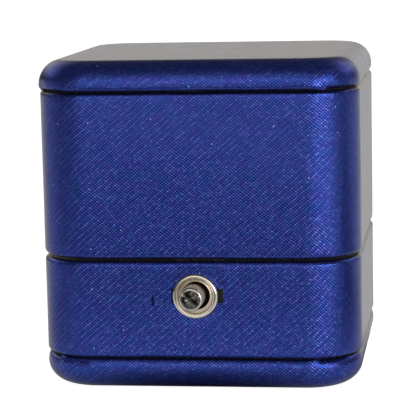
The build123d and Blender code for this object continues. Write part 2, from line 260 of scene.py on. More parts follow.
def cap_ring(bm, uv_layer, row, side, rise):
    """Closes a ring with shrunken copies of itself and a fan at the middle, which is raised by rise."""
    middle = Vector((0, 0, sum(v.co.z for v in row) / len(row)))
    last = row
    for k in range(1, CAP_STEPS):
        new = []
        for v in row:
            place = v.co.lerp(middle, k / CAP_STEPS)
            place.z += 0.05 * MM * ripple(place.x, place.y, 9 * MM, CAP_SEED) * smooth(k / 4)
            place.z += rise * (1 - (1 - k / CAP_STEPS) ** 2)
            new.append(bm.verts.new(place))
        for i in range(len(row)):
            n = (i + 1) % len(row)
            planar_uv(bm.faces.new((last[i], last[n], new[n], new[i])), uv_layer, side)
        last = new
    hub = bm.verts.new(middle + Vector((0, 0, rise)))
    for i in range(len(row)):
        planar_uv(bm.faces.new((last[i], last[(i + 1) % len(row)], hub)), uv_layer, side)


def planar_uv(face, uv_layer, side):
    """Lays a face flat as seen from above, or mirrored if side is -1."""
    for loop in face.loops:
        loop[uv_layer].uv = (loop.vert.co.x / MM, side * loop.vert.co.y / MM)


def block_cutter(low, high):
    """Block between two corners, in millimetres."""
    bm = bmesh.new()
    bmesh.ops.create_cube(bm, size=1.0)
    low, high = Vector(low) * MM, Vector(high) * MM
    for v in bm.verts:
        v.co = Vector(((a + b) / 2 + c * (b - a) for a, b, c in zip(low, high, v.co)))
    return cutter_object(bm)


def rod_cutter(start, end, radius):
    """Cylinder between two points on one axis, in millimetres."""
    start, end = Vector(start) * MM, Vector(end) * MM
    bm = bmesh.new()
    turn = (end - start).to_track_quat("Z", "Y").to_matrix().to_4x4()
    bmesh.ops.create_cone(
        bm, cap_ends=True, segments=64, radius1=radius * MM, radius2=radius * MM,
        depth=(end - start).length, matrix=Matrix.Translation((start + end) / 2) @ turn,
    )
    return cutter_object(bm)


def cutter_object(bm):
    """A plain object of a bmesh, to be cut out of a piece and then removed."""
    mesh = bpy.data.meshes.new("cutter")
    bm.to_mesh(mesh)
    bm.free()
    cutter = bpy.data.objects.new("cutter", mesh)
    SCENE.collection.objects.link(cutter)
    return cutter


SHARP_ANGLE = math.radians(38)  # edges sharper than this aren't shaded smooth


def carve(piece, cutters):
    """Cuts the cutters out of a piece and removes them."""
    for cutter in cutters:
        modifier = piece.modifiers.new("cut", "BOOLEAN")
        modifier.operation = "DIFFERENCE"
        modifier.solver = "EXACT"
        modifier.object = cutter
    bpy.context.view_layer.update()
    whole = piece.evaluated_get(bpy.context.evaluated_depsgraph_get())
    cut = bpy.data.meshes.new_from_object(whole)
    piece.modifiers.clear()
    old = piece.data
    piece.data = cut
    bpy.data.meshes.remove(old)
    cut.set_sharp_from_angle(angle=SHARP_ANGLE)
    for cutter in cutters:
        mesh = cutter.data
        bpy.data.objects.remove(cutter)
        bpy.data.meshes.remove(mesh)


# ---- node helpers --------------------------------------------------------------------------------
class Nodes:
    """Short ways to add shader nodes."""

    def __init__(self, tree):
        self.tree = tree
        self.tree.nodes.clear()

    def new(self, kind, **settings):
        node = self.tree.nodes.new(kind)
        for key, value in settings.items():
            setattr(node, key, value)
        return node

    def link(self, a, b):
        self.tree.links.new(a, b)

    def feed(self, socket, value):
        """Links a socket to another one, or sets it to a plain value."""
        if isinstance(value, bpy.types.NodeSocket):
            self.link(value, socket)
        else:
            socket.default_value = value

    def math(self, operation, a, b=0.0, c=0.0, clamp=False):
        node = self.new("ShaderNodeMath", operation=operation, use_clamp=clamp)
        for i, value in enumerate((a, b, c)):
            self.feed(node.inputs[i], value)
        return node.outputs[0]

    def mix(self, factor, a, b):
        node = self.new("ShaderNodeMix", data_type="RGBA")
        self.feed(node.inputs["Factor"], factor)
        self.feed(node.inputs[6], a)
        self.feed(node.inputs[7], b)
        return node.outputs[2]

    def noise(self, vector, scale, detail, roughness=0.5):
        node = self.new("ShaderNodeTexNoise")
        self.link(vector, node.inputs["Vector"])
        node.inputs["Scale"].default_value = scale
        node.inputs["Detail"].default_value = detail
        node.inputs["Roughness"].default_value = roughness
        return node.outputs["Fac"]

    def ramp(self, value, stops):
        """Grey ramp through stops of (position, level)."""
        node = self.new("ShaderNodeValToRGB")
        elements = node.color_ramp.elements
        while len(elements) < len(stops):
            elements.new(0.5)
        for element, (position, level) in zip(elements, stops):
            element.position = position
            element.color = (level, level, level, 1.0)
        self.link(value, node.inputs[0])
        return node.outputs[0]

    def range(self, value, from_min, from_max, to_min=0.0, to_max=1.0, smooth=False):
        node = self.new("ShaderNodeMapRange", clamp=True)
        node.interpolation_type = "SMOOTHSTEP" if smooth else "LINEAR"
        self.link(value, node.inputs["Value"])
        limits = {"From Min": from_min, "From Max": from_max, "To Min": to_min, "To Max": to_max}
        for key, number in limits.items():
            node.inputs[key].default_value = number
        return node.outputs["Result"]

    def point(self, x, y):
        """A vector from two numbers."""
        node = self.new("ShaderNodeCombineXYZ")
        self.link(x, node.inputs[0])
        self.link(y, node.inputs[1])
        return node.outputs[0]

    def parts(self, vector):
        """The three numbers of a vector."""
        node = self.new("ShaderNodeSeparateXYZ")
        self.link(vector, node.inputs[0])
        return node.outputs

    def bump(self, height, strength, distance, normal):
        """Bumps the surface that a shader's normal socket sees."""
        node = self.new("ShaderNodeBump")
        node.inputs["Strength"].default_value = strength
        node.inputs["Distance"].default_value = distance
        self.link(height, node.inputs["Height"])
        self.link(node.outputs[0], normal)

    def both(self, first, second):
        """Two shaders added."""
        node = self.new("ShaderNodeAddShader")
        self.link(first.outputs[0], node.inputs[0])
        self.link(second.outputs[0], node.inputs[1])
        return node

    def seen_or_given(self, seen, given):
        """One shader for the camera and another for the light that the object gets."""
        node = self.new("ShaderNodeMixShader")
        self.link(self.new("ShaderNodeLightPath").outputs["Is Camera Ray"], node.inputs[0])
        self.link(given.outputs[0], node.inputs[1])
        self.link(seen.outputs[0], node.inputs[2])
        return node.outputs[0]


def new_material(name):
    """A material with one plain Principled shader, its nodes and the shader."""
    material = bpy.data.materials.new(name)
    material.use_nodes = True
    nodes = Nodes(material.node_tree)
    output = nodes.new("ShaderNodeOutputMaterial")
    shader = nodes.new("ShaderNodeBsdfPrincipled")
    nodes.link(shader.outputs[0], output.inputs["Surface"])
    return material, nodes, shader


# ---- materials -----------------------------------------------------------------------------------
# The "wrap" UVs are in millimetres of flat leatherette.
WEAVE_PITCH = 0.485  # mm from thread to thread
RIB_RISE = 40.3  # degrees above level, on the front
CROSS_RISE = 140.8
RIB, CROSS, PAIR, PAIR_CROSS = 0.25, 0.34, 0.09, 0.20  # shares of the weave's height
SPARK = (0.16, 0.24, 0.78, 1)  # the brightest few threads
SEAM_SHADE = 0.14  # what is left of the colour deep in a seam, under painted seam shade

# A scuffed dent beside the button: its wear and its painted shade dim the colour there.
SCUFF_AND_DENT_SHADE_PLACE = (-8.7, 18.5)  # mm: across and up the front
SCUFF_AND_DENT_SHADE_SIZE = (0.42, 1.45)
SCUFF_AND_DENT_SHADE_DEPTH = 0.85


def scuff_and_dent_shade(n):
    """Dims the colour in one small spot beside the button: a scuffed dent, its wear and its painted shade.
    """
    x, y, z = n.parts(n.new("ShaderNodeTexCoord").outputs["Object"])
    reach = []
    for socket, middle, size in zip((x, z), SCUFF_AND_DENT_SHADE_PLACE, SCUFF_AND_DENT_SHADE_SIZE):
        away = n.math("DIVIDE", n.math("SUBTRACT", socket, middle * MM), size * MM)
        reach.append(n.math("MULTIPLY", away, away))
    spot = n.range(n.math("ADD", *reach), 0.1, 1.0, 1.0, 0.0, smooth=True)
    in_front = n.math("LESS_THAN", y, -30 * MM)
    return n.math("SUBTRACT", 1.0, n.math("MULTIPLY", n.math("MULTIPLY", spot, in_front), SCUFF_AND_DENT_SHADE_DEPTH))


LINT_PER_MM = 0.16
LINT_CORE, LINT_RIM = 0.010, 0.022  # of a cell's size
LINT_RARITY = 0.85  # share of the cells without a speck


def specks(n, uv):
    """A few specks of lint."""
    cells = n.new("ShaderNodeTexVoronoi", voronoi_dimensions="2D")
    n.link(uv, cells.inputs["Vector"])
    cells.inputs["Scale"].default_value = LINT_PER_MM
    dot = n.range(cells.outputs["Distance"], LINT_CORE, LINT_RIM, 1.0, 0.0)
    pick = n.new("ShaderNodeSeparateColor")
    n.link(cells.outputs["Color"], pick.inputs[0])
    return n.math("MULTIPLY", dot, n.math("GREATER_THAN", pick.outputs[0], LINT_RARITY))


def leatherette():
    """Metallic blue leatherette, embossed like a fine diagonal weave of bright tops and blue hollows, with
    painted shade in its seams and folds and at one small dent.
    """
    material, n, shader = new_material("leatherette")
    uv = n.new("ShaderNodeUVMap", uv_map="wrap").outputs[0]
    u, v, _ = n.parts(uv)
    drift = n.math("MULTIPLY_ADD", n.noise(uv, 0.25, 2), 0.5, -0.25)
    jitter = n.math("MULTIPLY_ADD", n.noise(uv, 1.2, 2), 0.32, -0.16)
    sway = n.math("ADD", drift, jitter)

    def turns(rise):
        """Distance across lines that rise at an angle, counted in threads."""
        along_u = n.math("MULTIPLY", u, -math.sin(math.radians(rise)))
        along_v = n.math("MULTIPLY", v, math.cos(math.radians(rise)))
        return n.math("DIVIDE", n.math("ADD", n.math("ADD", along_u, along_v), sway), WEAVE_PITCH)

    def wave(count):
        return n.math("COSINE", n.math("MULTIPLY", count, 2 * math.pi))

    rib_count, cross_count = turns(RIB_RISE), turns(CROSS_RISE)
    cross = wave(cross_count)
    pair = wave(n.math("MULTIPLY", rib_count, 0.5))
    height = n.math("ADD", n.math("MULTIPLY", wave(rib_count), RIB), n.math("MULTIPLY", cross, CROSS))
    height = n.math("ADD", height, n.math("MULTIPLY", pair, PAIR))
    height = n.math("ADD", height, n.math("MULTIPLY", n.math("MULTIPLY", pair, cross), PAIR_CROSS))
    weave = n.range(height, -0.66, 0.84, smooth=True)

    # Each crossing of two threads takes the dye a little differently.
    cell = n.point(*(n.math("FLOOR", n.math("ADD", count, 0.5)) for count in (rib_count, cross_count)))
    chance = n.new("ShaderNodeTexWhiteNoise", noise_dimensions="2D")
    n.link(cell, chance.inputs["Vector"])
    luck = n.math("POWER", chance.outputs["Value"], 3.0)
    uneven = n.math("MULTIPLY_ADD", chance.outputs["Value"], 0.10, -0.05)
    tint = n.math("ADD", weave, uneven, clamp=True)

    hue = n.range(n.noise(uv, 0.45, 3), 0.36, 0.60)
    hollow = n.mix(hue, (0.008, 0.014, 0.28, 1), (0.004, 0.019, 0.28, 1))
    top = n.mix(hue, (0.098, 0.110, 0.49, 1), (0.062, 0.138, 0.49, 1))
    top = n.mix(luck, top, SPARK)
    # Painted shade: the colour is dimmed by the mesh's seam-shade layer (in the seams, on the turned-in
    # leatherette and in the pleats' folds) and at one scuffed dent beside the button.
    painted_seam_shade = n.new("ShaderNodeAttribute", attribute_name="painted_seam_shade").outputs["Fac"]
    shade = n.math("MULTIPLY", n.range(painted_seam_shade, 0.0, 1.0, 1.0, SEAM_SHADE), scuff_and_dent_shade(n))
    dyed_and_shaded = n.new("ShaderNodeVectorMath", operation="SCALE")
    n.link(n.mix(tint, hollow, top), dyed_and_shaded.inputs[0])
    n.link(shade, dyed_and_shaded.inputs["Scale"])
    lint = specks(n, uv)
    n.link(n.mix(lint, dyed_and_shaded.outputs[0], (1.0, 1.0, 1.0, 1)), shader.inputs["Base Color"])
    shine = n.range(weave, 0.0, 1.0, 0.5, 0.95)
    n.link(n.math("MULTIPLY", shine, n.math("SUBTRACT", 1.0, lint)), shader.inputs["Metallic"])
    shader.inputs["Roughness"].default_value = 0.17
    shader.inputs["IOR"].default_value = 1.16
    shader.inputs["Specular Tint"].default_value = (0.99, 0.92, 0.66, 1)
    shader.inputs["Sheen Weight"].default_value = 0.08
    shader.inputs["Sheen Roughness"].default_value = 0.35
    shader.inputs["Sheen Tint"].default_value = (1.0, 0.95, 0.80, 1)
    shader.inputs["Coat Weight"].default_value = 1.0
    shader.inputs["Coat Roughness"].default_value = 0.3
    shader.inputs["Coat IOR"].default_value = 1.12
    n.bump(weave, 0.9, 0.035 * MM, shader.inputs["Normal"])

    # The clear film over the weave is uneven too: in grains, along the ribs, and broadly.
    ribbed = n.point(n.math("MULTIPLY", rib_count, 0.5), n.math("MULTIPLY", cross_count, 0.06))
    grain = n.math("MULTIPLY", n.noise(uv, 1.4, 3), 1.8)
    grain = n.math("ADD", grain, n.math("MULTIPLY", n.noise(ribbed, 1.0, 2), 1.6))
    grain = n.math("ADD", grain, n.math("MULTIPLY", n.noise(uv, 0.16, 1), 10.0))
    n.bump(n.math("ADD", weave, grain), 0.5, 0.03 * MM, shader.inputs["Coat Normal"])
    return material


# Black of dirt and painted shade, deep in the bezel and behind the button's face.
DIRT_AND_SHADE = (0.012, 0.011, 0.010, 1)


def metal(name, colour, roughness, dirt_and_shade_from=None, dents=0.02 * MM, tarnish_and_painted_reflection=False):
    """Metal, uneven by the depth of its dents. Behind a given depth it is black: dirt and painted shade in
    the recess there.

    For the push button its face is darkened in patches towards the middle, partly tarnish and partly a
    painted dark reflection, and its side is dull.
    """
    material, n, shader = new_material(name)
    coords = n.new("ShaderNodeTexCoord").outputs["Object"]
    shader.inputs["Base Color"].default_value = (*colour, 1)
    if dirt_and_shade_from is not None:
        x, y, z = n.parts(coords)
        # Dirt and painted shade: black behind the given depth.
        dirt_and_shade = n.range(y, dirt_and_shade_from, dirt_and_shade_from + 0.3 * MM)
        if tarnish_and_painted_reflection:
            x, z = n.math("SUBTRACT", x, BUTTON_X), n.math("SUBTRACT", z, BUTTON_Z)
            reach = n.math("SQRT", n.math("ADD", n.math("MULTIPLY", x, x), n.math("MULTIPLY", z, z)))
            bare = n.range(n.noise(coords, 900.0, 2), 0.38, 0.56)
            # Tarnish and painted dark reflection: patches darkened towards the middle of the button's face.
            tarnish_and_dark_reflection = n.math("MULTIPLY", n.range(reach, 1.5 * MM, 2.1 * MM, 1.0, 0.0), bare)
            dirt_and_shade = n.math("MAXIMUM", dirt_and_shade, n.math("MULTIPLY", tarnish_and_dark_reflection, 0.95))
        n.link(n.mix(dirt_and_shade, (*colour, 1), DIRT_AND_SHADE), shader.inputs["Base Color"])
    shader.inputs["Metallic"].default_value = 1.0
    gloss = n.range(n.noise(coords, 300.0, 2), 0.4, 0.7, roughness, roughness * 1.6)
    if tarnish_and_painted_reflection:
        side = n.range(reach, BUTTON_RADIUS - 0.12 * MM, BUTTON_RADIUS - 0.03 * MM, 0.0, 0.35)
        gloss = n.math("ADD", gloss, side)
    n.link(gloss, shader.inputs["Roughness"])
    n.bump(n.noise(coords, 650.0, 1), 1.0, dents, shader.inputs["Normal"])
    return material


def pile(name, deep, light, sheen):
    """Short-pile velvet: dark in its depth, with nap brushed in patches and a soft sheen at the edges."""
    material, n, shader = new_material(name)
    coords = n.new("ShaderNodeTexCoord").outputs["Object"]
    nap = n.range(n.noise(coords, 160.0, 3, 0.6), 0.35, 0.68, smooth=True)
    fibre = n.noise(coords, 3500.0, 2, 0.7)
    tone = n.math("ADD", n.math("MULTIPLY", nap, 0.55), n.math("MULTIPLY", fibre, 0.45))
    n.link(n.mix(tone, (*deep, 1), (*light, 1)), shader.inputs["Base Color"])
    shader.inputs["Roughness"].default_value = 0.95
    shader.inputs["IOR"].default_value = 1.3
    shader.inputs["Sheen Weight"].default_value = 1.0
    shader.inputs["Sheen Roughness"].default_value = 0.35
    shader.inputs["Sheen Tint"].default_value = (*sheen, 1)
    n.bump(fibre, 0.6, 0.12 * MM, shader.inputs["Normal"])
    return material


def plain(name, colour, roughness):
    """Matt material, faintly mottled."""
    material, n, shader = new_material(name)
    mottled = n.noise(n.new("ShaderNodeTexCoord").outputs["Object"], 700.0, 3)
    low = tuple(c * 0.85 for c in colour) + (1,)
    high = tuple(min(1, c * 1.15) for c in colour) + (1,)
    n.link(n.mix(mottled, low, high), shader.inputs["Base Color"])
    shader.inputs["Roughness"].default_value = roughness
    return material


LEATHERETTE = leatherette()
NICKEL = metal("nickel", (0.93, 0.86, 0.75), roughness=0.06)
BEZEL_NICKEL = metal("bezel_nickel", (0.96, 0.89, 0.77), roughness=0.12, dirt_and_shade_from=-HALF + 0.5 * MM)
BUTTON_NICKEL = metal(
    "button_nickel", (0.90, 0.84, 0.76), roughness=0.10, dirt_and_shade_from=-HALF + 0.3 * MM, dents=0.12 * MM,
    tarnish_and_painted_reflection=True,
)
DULL_NICKEL = metal("dull_nickel", (0.30, 0.28, 0.25), roughness=0.40)
STEEL = metal("steel", (0.55, 0.55, 0.56), roughness=0.26)
PLASTIC = plain("black_plastic", (0.006, 0.0055, 0.005), roughness=0.5)
BOARD = plain("fibreboard", (0.36, 0.25, 0.15), roughness=0.8)
FOAM = plain("foam", (0.6, 0.6, 0.56), roughness=0.9)
VELVET = pile(
    "velvet", deep=(0.006, 0.009, 0.045), light=(0.020, 0.032, 0.150), sheen=(0.22, 0.30, 0.75)
)


# ---- covered plates and walls --------------------------------------------------------------------
def wall_profile(low, high):
    """Closed skin of a wall: turned in over both rims, with a round at each edge."""
    outer = [(TURN_IN, low)]
    outer += run_points((TURN_IN, low), (EDGE, low), 5)
    outer += arc_points((EDGE, low + EDGE), EDGE, -90, -180, 8)
    outer += run_points((0, low + EDGE), (0, high - EDGE), round((high - low) / MM))
    outer += arc_points((EDGE, high - EDGE), EDGE, 180, 90, 8)
    outer += run_points((EDGE, high), (TURN_IN, high), 5)
    outer += [(TURN_IN, high)]
    inner_gap = SKIN - HAIR
    inner = [(TURN_IN, high - inner_gap), (inner_gap, high - inner_gap)]
    inner += [(inner_gap, low + inner_gap), (TURN_IN, low + inner_gap)]
    return outer + inner


def painted_seam_shade_fade(to_rim, shade):
    """Amount of painted seam shade: 1 in a seam, fading out over the shaded height next to it."""
    return 1 - smooth((to_rim - 0.2 * shade) / (0.8 * shade))


INNER_SHADE = 0.45  # how much painted shade the turned-in leatherette gets, for its colour
OVERLAP, OVERLAP_FROM, OVERLAP_RAMP = 0.22 * MM, 6 * MM, 3 * MM  # the sheet's two ends at mid-back
BEZEL_DENT, BEZEL_DENT_FROM, BEZEL_DENT_RAMP = 0.22 * MM, 4.2 * MM, 2.6 * MM  # round the bezel's lip


def wall_shape(low, high, low_shade, high_shade, seed):
    """Leatherette on a wall: uneven, wavy at its rims, overlapped at mid-back, pressed in by the bezel,
    with painted shade near its rims and on its turned-in parts.
    """
    def shape(angle, s, inset, z):
        # Turned-in leatherette gets a fixed share of painted shade.
        if inset > EDGE or (inset > 0.6 * MM and low + 0.7 * MM < z < high - 0.7 * MM):
            return 0.0, 0.0, INNER_SHADE
        to_rim = min(z - low, high - z)
        near_rim = 1 - smooth(to_rim / (3.0 * MM))
        on_side = smooth((abs(angle) - 60) / 25)
        wavy = 0.07 * MM * near_rim
        push = 0.05 * MM * ripple(s, z, 11 * MM, seed) + wavy * ripple(s, 0, 5 * MM, seed + 7)
        push += 0.03 * MM * ripple(s, z * 0.2, 3.5 * MM, seed + 3)
        push += OVERLAP * (1 - smooth((s - OVERLAP_FROM) / OVERLAP_RAMP))
        push += 0.07 * MM * ripple(s, z * 0.1, 7 * MM, seed + 21) * on_side
        lift = 0.08 * MM * near_rim * ripple(s, z, 6 * MM, seed + 13)
        if abs(angle) < 1 and abs(z - BUTTON_Z) < 9 * MM:
            reach = math.hypot(s - FRONT_MIDDLE, z - BUTTON_Z)
            push -= BEZEL_DENT * (1 - smooth((reach - BEZEL_DENT_FROM) / BEZEL_DENT_RAMP))
        # deep is the painted seam shade next to the rims.
        deep = max(painted_seam_shade_fade(z - low, low_shade), painted_seam_shade_fade(high - z, high_shade))
        return push, lift, deep
    return shape


def plate_profile(face, seam, nose, edge_rise):
    """Open skin of a plate from the turn-in at the seam, round the nose, to where its face is flat.

    edge_rise is the height of the round next to the seam.
    """
    up = 1 if face > seam else -1
    points = [(TURN_IN, seam)]
    points += run_points((TURN_IN, seam), (EDGE, seam), 5)
    edge = arc_points((EDGE, 0), EDGE, -90, -180, 10)
    points += [(x, seam + up * edge_rise * (1 + z / EDGE)) for x, z in edge]
    top_of_edge = seam + up * edge_rise
    nose_rise = min(nose, abs(face - top_of_edge))
    foot_of_nose = face - up * nose_rise
    if abs(foot_of_nose - top_of_edge) > HAIR:
        points += run_points((0, top_of_edge), (0, foot_of_nose), 2)
    else:
        points.pop()
    bend = arc_points((nose, 0), nose, 180, 90, 18)
    points += [(x, foot_of_nose + up * z * nose_rise / nose) for x, z in bend]
    return points


# Pleats at the plates' corners: first and last facing angle, height of the crease over the seam and its
# depth in mm.
TOP_PLEATS = ((27, 82, 0.60, 0.55), (-63, -20, 0.5, 0.22), (152, 108, 1.0, 0.35), (-118, -160, 0.9, 0.35))
BOTTOM_PLEATS = (
    (15, 55, 0.55, 0.50), (-41, -72, 0.55, 0.45), (128, 165, 0.9, 0.35), (-140, -100, 1.0, 0.35)
)
GATHER, DROOP = 0.34, 0.30  # mm: how far the leatherette stands out and hangs down beside a pleat


def plate_shape(seam, face, shade, pleats, seed):
    """Leatherette on a plate: gathered at the corners and tucked into the seam, with painted shade in the
    seam and in the pleats' folds. shade is the height of the painted seam shade, in millimetres.
    """
    def shape(angle, s, inset, z):
        height = abs(z - seam) / MM
        side = 1 - smooth(inset / (2.5 * MM))
        # deep is the painted seam shade next to the seam.
        deep = painted_seam_shade_fade(height, shade)
        push = 0.05 * ripple(s, z, 8 * MM, seed) * side
        push += 0.10 * ripple(s, 0, 4.5 * MM, seed + 5) * (1 - smooth(height / 1.6)) * side
        sag = 0.0
        for first, last, crease, depth in pleats:
            t = (angle - first) / (last - first)
            below = 1 - smooth((height - crease + 0.2) / 0.35)
            if 0 <= t <= 1:
                fold = smooth(t / 0.10) * (1 - smooth((t - 0.7) / 0.3)) * below
                push -= depth * fold
                # Painted shade in the pleat's fold.
                deep = max(deep, 0.75 * fold)
            before = -t * abs(last - first)
            gather = smooth((before + 3) / 15) * (1 - smooth((before - 13) / 16))
            push += GATHER * gather * math.exp(-(height / 3.2) ** 2) * side
            droop = smooth((before + 1) / 2) * (1 - smooth((before - 2) / 14))
            sag += DROOP * droop * (1 - smooth((height - 0.4) / 1.4))
        lift = 0.06 * ripple(s, 0, 5 * MM, seed + 11) * (1 - smooth(height / 1.0))
        lift += -sag if face > seam else sag
        return push * MM, lift * MM, deep
    return shape


def wall_cutters(rim, inside):
    """Room for the hinge barrel and for the leaf that lies on the wall frame's rim."""
    leaf, pin, barrel_room = 20.1, 20.35, 1.7  # mm: half lengths and radius
    leaf_in, outside = 28.1, 34.0
    low, high = sorted((rim / MM, inside / MM))
    y, z = HALF / MM, HINGE_Z / MM
    return [
        rod_cutter((-pin, y, z), (pin, y, z), barrel_room),
        block_cutter((-leaf, leaf_in, low - 0.2), (leaf, outside, high + 0.01)),
    ]


def covers():
    """The four leatherette wraps."""
    low, high = LID_WALL[0].z, LID_WALL[1].z
    lid = sweep_ring(
        "lid_wrap", wall_profile(low, high), "lid", LEATHERETTE, HALF, CORNER,
        wall_shape(low, high, low_shade=0.75 * MM, high_shade=1.0 * MM, seed=1.7),
    )
    carve(lid, wall_cutters(low - 0.5 * MM, low + SKIN))
    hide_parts("lid_cover")

    low, high = BASE_WALL[0].z, BASE_WALL[1].z
    base = sweep_ring(
        "base_wrap", wall_profile(low, high), "base", LEATHERETTE, HALF, CORNER,
        wall_shape(low, high, low_shade=0.8 * MM, high_shade=0.35 * MM, seed=5.1),
    )
    z = BUTTON_Z / MM
    ear_slot = block_cutter((-5.0, -34, z - 1.45), (5.5, -31, z + 1.45))
    bezel_hole = rod_cutter((0, -34, z), (0, -31, z), 3.9)
    carve(base, wall_cutters(high - SKIN, high + 0.5 * MM) + [ear_slot, bezel_hole])
    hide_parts("base_cover")

    seam, face = TOP_PLATE[0].z, TOP_PLATE[1].z
    top = sweep_ring(
        "top_plate_wrap", plate_profile(face, seam, TOP_NOSE, EDGE), "lid", LEATHERETTE, HALF, CORNER,
        plate_shape(seam, face, 0.6, TOP_PLEATS, seed=2.9), caps=True, unfold=1,
    )
    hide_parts("top_cover")

    seam, face = FLOOR_PLATE[1].z, FLOOR_PLATE[0].z
    bottom = sweep_ring(
        "bottom_plate_wrap", plate_profile(face, seam, BOTTOM_NOSE, BOTTOM_EDGE_RISE), "base", LEATHERETTE,
        HALF, CORNER, plate_shape(seam, face, 0.4, BOTTOM_PLEATS, seed=8.3), caps=True, unfold=-1,
    )
    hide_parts("bottom_cover")


# ---- lining, collar and insert -------------------------------------------------------------------
def inner_corner(half):
    """Plan corner radius of an outline that runs parallel to the outer one."""
    return max(CORNER - (HALF - half), 0.8 * MM)


def band_profile(thick, low, high, edge):
    """Closed profile of an upright band with a round top edge on both faces."""
    points = [(0, low)] + run_points((0, low), (0, high - edge), 14)
    points += arc_points((edge, high - edge), edge, 180, 90, 5)
    points += arc_points((thick - edge, high - edge), edge, 90, 0, 5)
    return points + run_points((thick, high - edge), (thick, low), 14) + [(thick, low)]


def nap_shape(seed, amount):
    """Velvet or foam, uneven by an amount in millimetres."""
    def shape(angle, s, inset, z):
        return amount * MM * ripple(s, z, 5 * MM, seed), 0.0, 0.0
    return shape


def velvet_band(node, body, thick, edge, seed, cutters=()):
    """Velvet lining round the inside of a wall."""
    low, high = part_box(node)
    half = high.x
    band = sweep_ring(
        node + "_velvet", band_profile(thick, low.z, high.z, edge), body, VELVET, half, inner_corner(half),
        nap_shape(seed, amount=0.03), steps=(1.4 * MM, 0.5 * MM),
    )
    if cutters:
        carve(band, cutters)
    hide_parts(node)


def slab(name, node, body, material, edge, seed, crown=0.0, amount=0.06):
    """Rounded square slab with both faces closed. Its last face is its lower one if crown is negative."""
    bevel = 0.6 * MM
    low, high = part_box(node)
    first, last = (low.z, high.z) if crown >= 0 else (high.z, low.z)
    up = 1 if last > first else -1
    points = [(bevel, first), (0.0, first + up * bevel)]
    points += run_points((0, first + up * bevel), (0, last - up * edge), 4)
    points += [(x, last - up * edge + up * z) for x, z in arc_points((edge, 0), edge, 180, 90, 9)]
    return sweep_ring(
        name, points, body, material, high.x, inner_corner(high.x), nap_shape(seed, amount),
        caps=True, steps=(1.2 * MM, 0.4 * MM), crown=crown,
    )


def padded_roll(node, seed):
    """Foam roll wrapped in velvet: full and round on top, tucked down at its ends and at the ring slit."""
    low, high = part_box(node)
    is_rear = (low.y + high.y) / 2 > 0
    round_x, round_outer, round_slit = 2.4 * MM, 4.8 * MM, 3.4 * MM
    round_top, round_bottom = 4.4 * MM, 0.8 * MM
    bm = bmesh.new()
    bmesh.ops.create_cube(bm, size=1.0)
    bmesh.ops.subdivide_edges(bm, edges=bm.edges[:], cuts=39, use_grid_fill=True)
    for v in bm.verts:
        place = Vector(((a + b) / 2 + c * (b - a) for a, b, c in zip(low, high, v.co)))
        core = place.copy()
        spread = Vector((1, 1, 1)) * MM
        margins = (
            (round_x, round_x),
            (round_slit, round_outer) if is_rear else (round_outer, round_slit),
            (round_bottom, round_top),
        )
        for axis, (near, far) in enumerate(margins):
            if place[axis] < low[axis] + near:
                core[axis], spread[axis] = low[axis] + near, near
            elif place[axis] > high[axis] - far:
                core[axis], spread[axis] = high[axis] - far, far
        away = Vector(((p - c) / r for p, c, r in zip(place, core, spread)))
        if away.length > 0:
            away.normalize()
        outward = Vector((d / r for d, r in zip(away, spread))).normalized()
        v.co = core + Vector((d * r for d, r in zip(away, spread)))
        to_end = min(v.co.x - low.x, high.x - v.co.x)
        crease = (1 - smooth(to_end / (4.5 * MM))) * 0.16 * MM
        swell = 0.10 * MM * ripple(v.co.x, v.co.y + v.co.z, 7 * MM, seed)
        pulled = crease * ripple(v.co.y + v.co.z * 0.6, v.co.x * 0.25, 1.5 * MM, seed + 4)
        if v.co.z > low.z + round_bottom:
            v.co += outward * (swell + pulled - 0.12 * MM)
    roll = finish_mesh(node + "_pad", bm, "base", VELVET)
    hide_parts(node)


def interior():
    """Linings, insert, foams, ring rolls and the lid's cushion."""
    room = 10.2  # mm: half width of the room behind the front wall for the latch
    pocket = block_cutter((-room, -27, 5), (room, -25.1, HINGE_Z / MM - 0.3))
    velvet_band("inner_collar", "base", thick=1.4 * MM, edge=0.55 * MM, seed=11.0, cutters=[pocket])
    gap = block_cutter((-room, -34, 12.2), (room, -11, 30))
    velvet_band("base_liner", "base", thick=1.5 * MM, edge=0.3 * MM, seed=12.0, cutters=[gap])
    velvet_band("lid_lining", "lid", thick=0.8 * MM, edge=0.3 * MM, seed=13.0)

    card = slab("insert_card_velvet", "insert_card", "base", VELVET, edge=0.8 * MM, seed=14.0, amount=0.04)
    rolls_window = block_cutter((-18, -11.5, 15), (18, 11.5, 30))
    carve(card, [rolls_window])
    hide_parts("insert_card")

    foam = slab("foam_block_cut", "foam_block", "base", FOAM, edge=0.6 * MM, seed=15.0)
    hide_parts("foam_block")
    sheet = slab("top_foam_cut", "top_foam", "lid", FOAM, edge=0.15 * MM, seed=16.0, amount=0.0)
    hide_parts("top_foam")

    padded_roll("ring_roll_front", seed=21.0)
    padded_roll("ring_roll_rear", seed=24.0)
    cushion = slab(
        "lid_pad_cushion", "lid_pad", "lid", VELVET, edge=2.8 * MM, seed=17.0, crown=-0.8 * MM, amount=0.10
    )
    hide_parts("lid_pad")


# ---- springs in their own meshes -----------------------------------------------------------------
def twin(node):
    """A copy of a CAD piece in its own mesh, with the CAD piece hidden."""
    piece = bpy.data.objects.new(node + "_moving", NODES[node].data.copy())
    SCENE.collection.objects.link(piece)
    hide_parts(node)
    return piece


def springs():
    """The torsion spring, the catch leaf and the button's spring, each copied into its own mesh."""
    torsion = twin("hinge_spring")
    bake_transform(torsion)

    catch = twin("catch_leaf")
    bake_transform(catch)

    coil = twin("button_spring")
    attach(coil, "base")
    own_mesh(coil)


